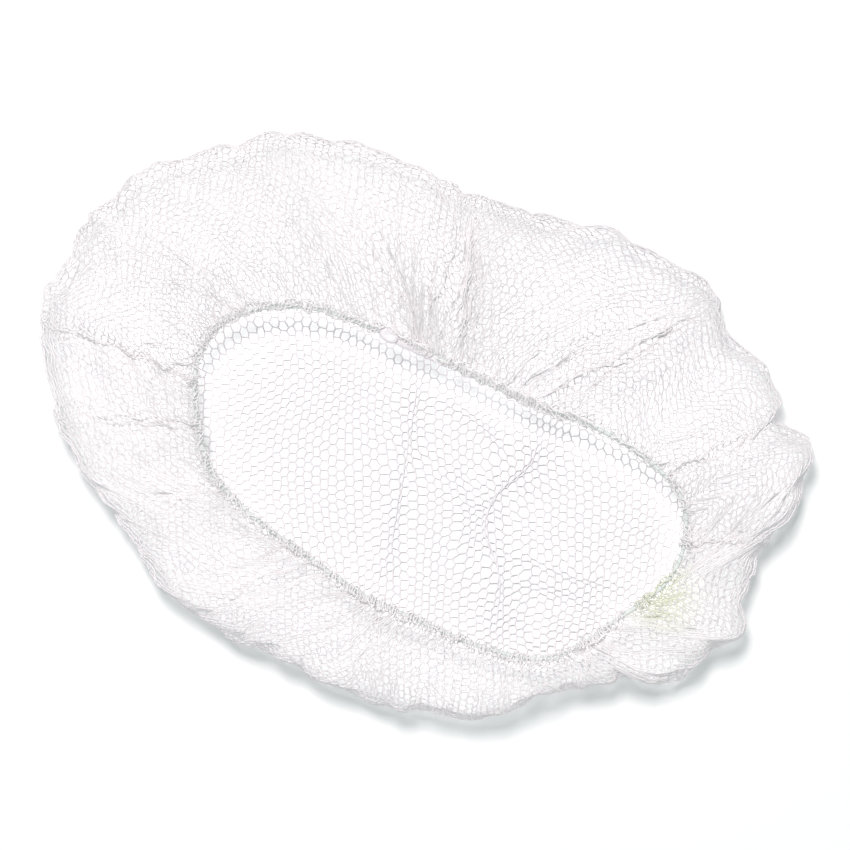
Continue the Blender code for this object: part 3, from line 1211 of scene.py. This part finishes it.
    def build(self) -> list[Object]:
        """Make the whole net, in quarters.

        Returns:
            The quarters of the net, finished.
        """
        cells = self.lay_out()
        self.trim(cells)
        ties, middles = self.hang(cells)
        quarters = list(Quarter)
        groups = np.zeros(len(ties), int)
        for i, quarter in enumerate(quarters):
            sign_x, sign_y = quarter.value
            in_x = (middles[:, 0] >= 0) == (sign_x > 0)
            in_y = (middles[:, 1] >= 0) == (sign_y > 0)
            groups[in_x & in_y] = i * 2
        groups += ties
        found = self.split(cells, groups)
        parts = [found[group] for group in sorted(found)]
        material = self.finish.build()
        pieces = []
        for i, quarter in enumerate(quarters):
            pair = parts[i * 2:i * 2 + 2]
            for strand, part in zip(Strand, pair):
                spin_threads(part, strand.value)
            piece = join_parts(quarter.piece_name, pair, material)
            piece.data.shade_smooth()
            pieces.append(piece)
        return pieces


def spin_threads(piece: Object, size: ThreadSize) -> None:
    """Turn an object's edges into round threads with closed ends.

    Args:
        piece: An object whose mesh has only edges.
        size: The thread's radius, sides and smoothing.
    """
    group = bpy.data.node_groups.new("spin_" + piece.name, "GeometryNodeTree")
    group.interface.new_socket("Geometry", in_out="INPUT", socket_type="NodeSocketGeometry")
    group.interface.new_socket("Geometry", in_out="OUTPUT", socket_type="NodeSocketGeometry")
    source = add_node(group, "NodeGroupInput")
    line = add_node(group, "GeometryNodeMeshToCurve", {"Mesh": source.outputs[0]})
    strand = line.outputs["Curve"]
    if size.cuts > 1:
        smooth = add_node(group, "GeometryNodeCurveSplineType", {"Curve": strand}, spline_type="CATMULL_ROM")
        fine = add_node(group, "GeometryNodeSetSplineResolution", {
            "Geometry": smooth.outputs["Curve"], "Resolution": size.cuts})
        strand = fine.outputs["Geometry"]
    ring = add_node(group, "GeometryNodeCurvePrimitiveCircle", {
        "Resolution": size.sides, "Radius": size.radius})
    tube = add_node(group, "GeometryNodeCurveToMesh", {
        "Curve": strand, "Profile Curve": ring.outputs["Curve"], "Fill Caps": True})
    add_node(group, "NodeGroupOutput", {0: tube.outputs["Mesh"]})
    activate(piece)
    bpy.ops.object.modifier_add(type="NODES")
    piece.modifiers[-1].node_group = group
    bpy.ops.object.modifier_apply(modifier=piece.modifiers[-1].name)
    bpy.data.node_groups.remove(group)


@dataclass(frozen=True)
class MottledFinish:
    """A finish in two near colours, with relief to match and an emission that is painted light."""

    name: str
    colour: str
    mottle: str
    grain_mm: float
    detail: float
    relief: float
    depth_mm: float
    roughness: float
    ior: float
    painted_glow_level: float

    def build(self) -> Material:
        """Build the material."""
        material, tree, shader = new_material(self.name)
        place = add_node(tree, "ShaderNodeTexCoord")
        grain = add_node(tree, "ShaderNodeTexNoise", {
            "Vector": place.outputs["Object"], "Scale": 1.0 / (self.grain_mm * MM), "Detail": self.detail})
        colour = add_node(tree, "ShaderNodeMix", {
            "Factor": grain.outputs["Fac"], "A": hex_to_linear(self.colour),
            "B": hex_to_linear(self.mottle)}, data_type="RGBA")
        relief = add_node(tree, "ShaderNodeBump", {
            "Height": grain.outputs["Fac"], "Strength": self.relief, "Distance": self.depth_mm * MM})
        set_inputs(shader, {
            "Base Color": colour.outputs["Result"], "Emission Color": colour.outputs["Result"],
            "Emission Strength": self.painted_glow_level, "Normal": relief.outputs["Normal"],
            "Roughness": self.roughness, "IOR": self.ior})
        return material


@dataclass(frozen=True)
class CoveredElasticFinish(MottledFinish):
    """Rubber core wound with textured nylon: chalky white, with fine dark gaps between the turns."""

    name: str = "wound_nylon_elastic_painted_glow"
    colour: str = "#E0E3E1"
    mottle: str = "#CACECC"
    grain_mm: float = 0.5
    detail: float = 3.0
    relief: float = 0.4
    depth_mm: float = 0.1
    roughness: float = 0.65
    ior: float = 1.5
    # Painted light: an emission lifts the dark gaps in the hem's shade round the cord.
    painted_glow_level: float = 0.14


@dataclass(frozen=True)
class SealedEndFinish(MottledFinish):
    """Nylon melted shut with a hot tool: pinkish, smooth and half glossy where it has flowed."""

    name: str = "melted_nylon_painted_glow"
    colour: str = "#D6D0D3"
    mottle: str = "#CEC8CB"
    grain_mm: float = 1.2
    detail: float = 2.0
    relief: float = 0.5
    depth_mm: float = 0.2
    roughness: float = 0.38
    ior: float = 1.53
    # Painted light: an emission brightens the lump and its tail.
    painted_glow_level: float = 0.20


def make_tube(name: str, points: np.ndarray, radius: float, closed: bool, sides: int = 0) -> Object:
    """Make a round tube along points, as a bevelled curve turned into a mesh.

    Args:
        name: The piece's name.
        points: The tube's centre line, a row each.
        radius: The tube's radius.
        closed: Whether the tube joins up with its own start.
        sides: The curve's bevel resolution, 0 for four sides.

    Returns:
        The tube, with closed ends.
    """
    curve = bpy.data.curves.new(name, "CURVE")
    curve.dimensions = "3D"
    curve.bevel_depth = radius
    curve.bevel_resolution = sides
    curve.use_fill_caps = not closed
    spline = curve.splines.new("POLY")
    spline.points.add(len(points) - 1)
    padded = np.concatenate([points, np.ones((len(points), 1))], axis=1)
    spline.points.foreach_set("co", padded.astype(np.float32).ravel())
    spline.use_cyclic_u = closed
    tube = bpy.data.objects.new(name, curve)
    bpy.context.scene.collection.objects.link(tube)
    activate(tube)
    bpy.ops.object.convert(target="MESH")
    tube = bpy.context.object
    if not closed:
        weld(0.001 * MM)
    tube.data.shade_smooth()
    return tube


@dataclass
class ElasticBand:
    """The covered elastic inside the hem, and the stitches that bind the hem over it.

    A stitch's sizes across and up are each a middle and a swing about it.
    """

    form: CapForm
    finish: CoveredElasticFinish
    core_radius: float = 0.00072
    inset: float = 0.0003
    winding_radius: float = 0.00014
    winding_pitch: float = 0.00075
    winding_points: int = 8
    stitch_radius: float = 0.00014
    stitch_pitch: float = 0.0026
    stitch_points: int = 8
    stitch_across: Pair = (0.0004, 0.0021)
    stitch_height: Pair = (0.0002, 0.0017)
    stitch_slope: float = 0.35
    stitch_uneven: float = 0.10
    core_points: int = 420
    girth_points: int = 720
    fine_points: int = 2000
    seed: int = 5

    def line(self, count: int) -> tuple[np.ndarray, np.ndarray]:
        """Space points evenly along the elastic's centre line.

        Args:
            count: How many points.

        Returns:
            The points and the level outward directions.
        """
        fine = np.linspace(0.0, 360.0, self.fine_points)
        runs = np.linalg.norm(np.diff(self.form.rim(fine), axis=0), axis=1)
        arcs = np.concatenate([[0.0], np.cumsum(runs)])
        angles = np.interp(np.arange(count) / count * arcs[-1], arcs, fine)
        return self.form.rim(angles), self.form.outward(angles)

    def girth(self) -> float:
        """Give the length once round the elastic."""
        points, _ = self.line(self.girth_points)
        return float(np.linalg.norm(points - np.roll(points, 1, axis=0), axis=1).sum())

    def coil(self, pitch: float, points_a_turn: int) -> tuple[np.ndarray, np.ndarray, np.ndarray, int]:
        """Space the points of a thread that winds round the elastic.

        Args:
            pitch: The length of elastic that one turn takes, more or less.
            points_a_turn: How many points a turn has.

        Returns:
            The centre line's points, the outward directions, the thread's phase and its turns.
        """
        turns = round(self.girth() / pitch)
        points, away = self.line(turns * points_a_turn)
        return points, away, np.arange(len(points)) / points_a_turn * math.tau, turns

    def build_core(self) -> Object:
        """Make the elastic cord."""
        points, away = self.line(self.core_points)
        return make_tube("elastic_core", points - away * self.inset, self.core_radius, True, 1)

    def build_winding(self) -> Object:
        """Wind the covering yarn round the cord."""
        points, away, phase, _ = self.coil(self.winding_pitch, self.winding_points)
        reach = self.core_radius + 0.4 * self.winding_radius
        points = points - away * self.inset
        points += (away * np.cos(phase)[:, None] + UP * np.sin(phase)[:, None]) * reach
        return make_tube("elastic_winding", points, self.winding_radius, True)

    def build_stitches(self) -> Object:
        """Sew the hem down: one thread that goes over the edge and back at every stitch."""
        chance = np.random.default_rng(self.seed)
        points, away, phase, turns = self.coil(self.stitch_pitch, self.stitch_points)
        uneven = 1.0 + self.stitch_uneven * np.repeat(chance.normal(0.0, 1.0, turns), self.stitch_points)
        across = (self.stitch_across[0] + self.stitch_across[1] * np.cos(phase)) * uneven
        height = self.stitch_height[0] + self.stitch_height[1] * np.sin(phase) + self.stitch_slope * across
        points = points + away * across[:, None] + UP * height[:, None]
        return make_tube("elastic_stitches", points, self.stitch_radius, True)

    def build(self) -> Object:
        """Make the elastic in one piece."""
        parts = [self.build_core(), self.build_winding(), self.build_stitches()]
        return join_parts("covered_elastic", parts, self.finish.build())


@dataclass
class SealedJoin:
    """The join of the elastic: a flattened lump of melted nylon and the overlapping end beside it.

    The lump's top, dimple and unevenness are shares of its size.
    """

    form: CapForm
    finish: SealedEndFinish
    angle: float = 117.0
    size: tuple[float, float, float] = (0.0068, 0.0060, 0.0022)
    tail_end: float = 103.5
    flat_top: float = 0.34
    dimple: float = 0.10
    dimple_radius: float = 0.4
    uneven: float = 0.07
    tail_width: float = 0.0034
    tail_height: float = 0.0009
    tail_inset: float = 0.0006
    tail_lift: float = 0.0004
    tail_drop: float = 0.0010
    tail_taper: float = 0.55
    tail_uneven: float = 0.10

    def build_lump(self) -> Object:
        """Press a ball into the sealed lump, flatter on top and dimpled by the tool."""
        angle = np.array([self.angle])
        place = self.form.rim(angle)[0]
        away = self.form.outward(angle)[0]
        deselect_all()
        bpy.ops.mesh.primitive_uv_sphere_add(segments=28, ring_count=16, radius=0.5)
        lump = bpy.context.object
        lump.name = "sealed_join"
        points = read_points(lump.data)
        dimple = self.dimple * bump(np.hypot(points[:, 0], points[:, 1]), self.dimple_radius)
        points[:, 2] = np.minimum(points[:, 2], self.flat_top - dimple)
        round_it = np.arctan2(points[:, 1], points[:, 0])
        points[:, :2] *= 1.0 + self.uneven * np.sin(3.0 * round_it + 0.6)[:, None]
        write_points(lump.data, points * np.array(self.size))
        turn = Matrix.Rotation(math.atan2(away[1], away[0]) + math.pi / 2, 4, "Z")
        height = self.form.band_radius + self.form.clearance + self.size[2] / 2
        lump.data.transform(Matrix.Translation(Vector(place) + Vector((0, 0, height))) @ turn)
        lump.data.shade_smooth()
        return lump

    def build_tail(self) -> Object:
        """Lay the elastic's flattened end along the inside of the band, from under the lump."""
        angles = np.linspace(self.angle, self.tail_end, 40)
        share = np.linspace(0.0, 1.0, len(angles))
        inset = self.tail_inset * (1.0 + share)
        points = self.form.rim(angles) - self.form.outward(angles) * inset[:, None]
        points[:, 2] += self.form.band_radius + self.tail_lift - self.tail_drop * share
        tail = make_tube("sealed_tail", points, self.tail_width / 2, False, 3)
        shape = read_points(tail.data)
        nearest = np.linalg.norm(shape[:, None, :2] - points[None, :, :2], axis=2).argmin(axis=1)
        along = share[nearest]
        width = (1.0 - self.tail_taper * along) * (1.0 + self.tail_uneven * np.sin(along * 23.0 + 1.0))
        offset = shape - points[nearest]
        offset[:, :2] *= width[:, None]
        offset[:, 2] *= self.tail_height / self.tail_width
        write_points(tail.data, points[nearest] + offset)
        return tail

    def build(self) -> Object:
        """Make the join in one piece."""
        return join_parts("sealed_join", [self.build_lump(), self.build_tail()], self.finish.build())


@dataclass(frozen=True)
class StudioFinish:
    """White seamless paper with a painted pool of light: emission under the cap, which keeps the net's cells
    white where the cap's shadows fall and fades out at its outline.
    """

    colour: str = "#F6F6F6"
    # The colour and strength of the pool of light painted on the floor.
    light: str = "#FFFFFF"
    painted_light_strength: float = 0.285
    roughness: float = 0.9

    def build(self) -> Material:
        """Build the floor's material."""
        material, tree, shader = new_material("white_paper_painted_light_pool")
        painted_light_pool = add_node(tree, "ShaderNodeAttribute", attribute_name="painted_light_pool")
        light = add_node(tree, "ShaderNodeMath", {0: painted_light_pool.outputs["Fac"], 1: self.painted_light_strength},
                         operation="MULTIPLY")
        set_inputs(shader, {
            "Base Color": hex_to_linear(self.colour), "Roughness": self.roughness,
            "Specular IOR Level": 0.0, "Emission Color": hex_to_linear(self.light),
            "Emission Strength": light.outputs["Value"]})
        return material


class FloorRing(NamedTuple):
    """A ring of the floor's mesh: its two shares and how strong the painted light on it is."""

    inside: float
    outside: float
    light: float


# The pool of light painted on the floor: full under the cap, reaching inside the rim where the puff's shadow
# falls, and gone past the outline so the cast shadow there stays.
FLOOR_RINGS = (
    FloorRing(0.00, 0.00, 0.0),
    FloorRing(0.60, 0.00, 0.0),
    FloorRing(0.81, 0.00, 0.0),
    FloorRing(0.87, 0.00, 0.1),
    FloorRing(0.93, 0.00, 0.5),
    FloorRing(0.98, 0.00, 1.15),
    FloorRing(1.00, 0.10, 1.1),
    FloorRing(1.00, 0.30, 1.0),
    FloorRing(1.00, 0.60, 1.0),
    FloorRing(1.00, 0.88, 1.0),
    FloorRing(1.00, 0.95, 0.75),
    FloorRing(1.00, 1.01, 0.0),
    FloorRing(1.00, 1.30, 0.0),
)


@dataclass
class Studio:
    """The floor, the lights and the camera, which looks straight down on the hairnet."""

    form: CapForm
    centre: Pair = (0.0027, 0.0022)
    field_width: float = 0.2975
    focus_height: float = 0.012
    lens: float = 120.0
    roll: float = 30.0
    floor_radius: float = 4.0
    floor_sides: int = 240
    # How the painted light inside the rim is shifted and turned, towards the puff's shadow.
    painted_pool_shift: Pair = (0.0066, -0.0084)
    painted_pool_turn: float = 102.0
    painted_pool_half_turn: float = 140.0
    painted_pool_rise: float = 2.5
    shift_inside: Pair = (0.5, 0.8)
    shift_outside: float = 0.4
    key_place: tuple[float, float, float] = (-0.39, 0.38, 1.52)
    key_power: float = 20.0
    key_size: float = 0.40
    key_colour: str = "#FFFAFA"
    sky: float = 0.50
    sky_colour: str = "#F2FFFF"

    def build_floor(self) -> Object:
        """Lay the floor in rings that follow the rim and the outline, so that its painted pool of light fits
        the cap.
        """
        deselect_all()
        rings = len(FLOOR_RINGS)
        bpy.ops.mesh.primitive_grid_add(x_subdivisions=self.floor_sides, y_subdivisions=rings, size=1.0)
        floor = bpy.context.object
        floor.name = "studio_floor"
        flat = read_points(floor.data)
        angles = -(flat[:, 0] + 0.5) * 360.0
        row = np.rint((flat[:, 1] + 0.5) * rings).astype(int)
        rim = self.form.rim(angles)[:, :2]
        edge = self.form.outline(angles)[:, :2]
        middle = rim.mean(axis=0)
        inside, outside, light = (np.array([getattr(r, c) for r in FLOOR_RINGS] + [0.0])[row]
                                  for c in ("inside", "outside", "light"))
        place = middle + (rim - middle) * inside[:, None] + (edge - rim) * outside[:, None]
        # The painted light reaches further inside the rim on the side that faces the key, filling the puff's
        # shadow there.
        facing = bump(turn_between(angles, self.painted_pool_turn), self.painted_pool_half_turn)
        near = np.interp(inside, self.shift_inside, (0.0, 1.0))
        near *= np.clip(1.0 - outside / self.shift_outside, 0.0, 1.0)
        place += np.array(self.painted_pool_shift) * (facing * near)[:, None]
        light = np.where(inside < 1.0, light * np.minimum(facing * self.painted_pool_rise, 1.0), light)
        turn = np.radians(angles)
        far = np.stack([np.cos(turn), np.sin(turn)], axis=1) * self.floor_radius
        place = np.where((row == rings)[:, None], far, place)
        write_points(floor.data, np.concatenate([place, np.zeros((len(place), 1))], axis=1))
        set_values(floor.data, "painted_light_pool", light)
        weld(0.01 * MM)
        floor.data.materials.append(StudioFinish().build())
        return floor

    def build_camera(self) -> Object:
        """Set the camera up over the hairnet, turned as the photograph is."""
        data = bpy.data.cameras.new("camera")
        data.lens = self.lens
        data.sensor_width = 36.0
        distance = self.lens * self.field_width / data.sensor_width
        camera = bpy.data.objects.new("camera", data)
        camera.location = (*self.centre, self.focus_height + distance)
        camera.rotation_euler = (0, 0, math.radians(self.roll))
        data.clip_start = 0.05
        data.clip_end = 10.0
        bpy.context.scene.collection.objects.link(camera)
        bpy.context.scene.camera = camera
        return camera

    def build_lights(self) -> None:
        """Hang a soft key light to the upper left and light the room evenly."""
        world = bpy.data.worlds.new("studio_room")
        world.use_nodes = True
        shade = world.node_tree.nodes["Background"]
        set_inputs(shade, {"Color": hex_to_linear(self.sky_colour), "Strength": self.sky})
        bpy.context.scene.world = world
        data = bpy.data.lights.new("key", "AREA")
        data.shape = "DISK"
        data.size = self.key_size
        data.energy = self.key_power
        data.color = hex_to_linear(self.key_colour)[:3]
        key = bpy.data.objects.new("key", data)
        key.location = self.key_place
        key.rotation_euler = (-key.location).to_track_quat("-Z", "Y").to_euler()
        bpy.context.scene.collection.objects.link(key)

    def build(self) -> None:
        """Build the whole studio."""
        self.build_floor()
        self.build_camera()
        self.build_lights()
        bpy.context.scene.view_settings.view_transform = "Standard"


def main() -> None:
    """Build the hairnet's pieces and the studio, and log the triangles of the elastic and the join."""
    logging.basicConfig(level=logging.INFO, format="%(message)s")
    form = CapForm()
    drape = Drape(form, Hem())
    net = HoneycombNet(drape, NylonNetFinish())
    Studio(form).build()
    for quarter, piece in zip(Quarter, net.build()):
        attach(piece, "root")
        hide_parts("net")
    band = ElasticBand(form, CoveredElasticFinish()).build()
    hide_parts("elastic_band")
    join = SealedJoin(form, SealedEndFinish()).build()
    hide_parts("elastic_knot")
    for piece in (band, join):
        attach(piece, "root")
        log.info("%s: %d triangles", piece.name, len(piece.data.loop_triangles))


if __name__ == "__main__":
    main()
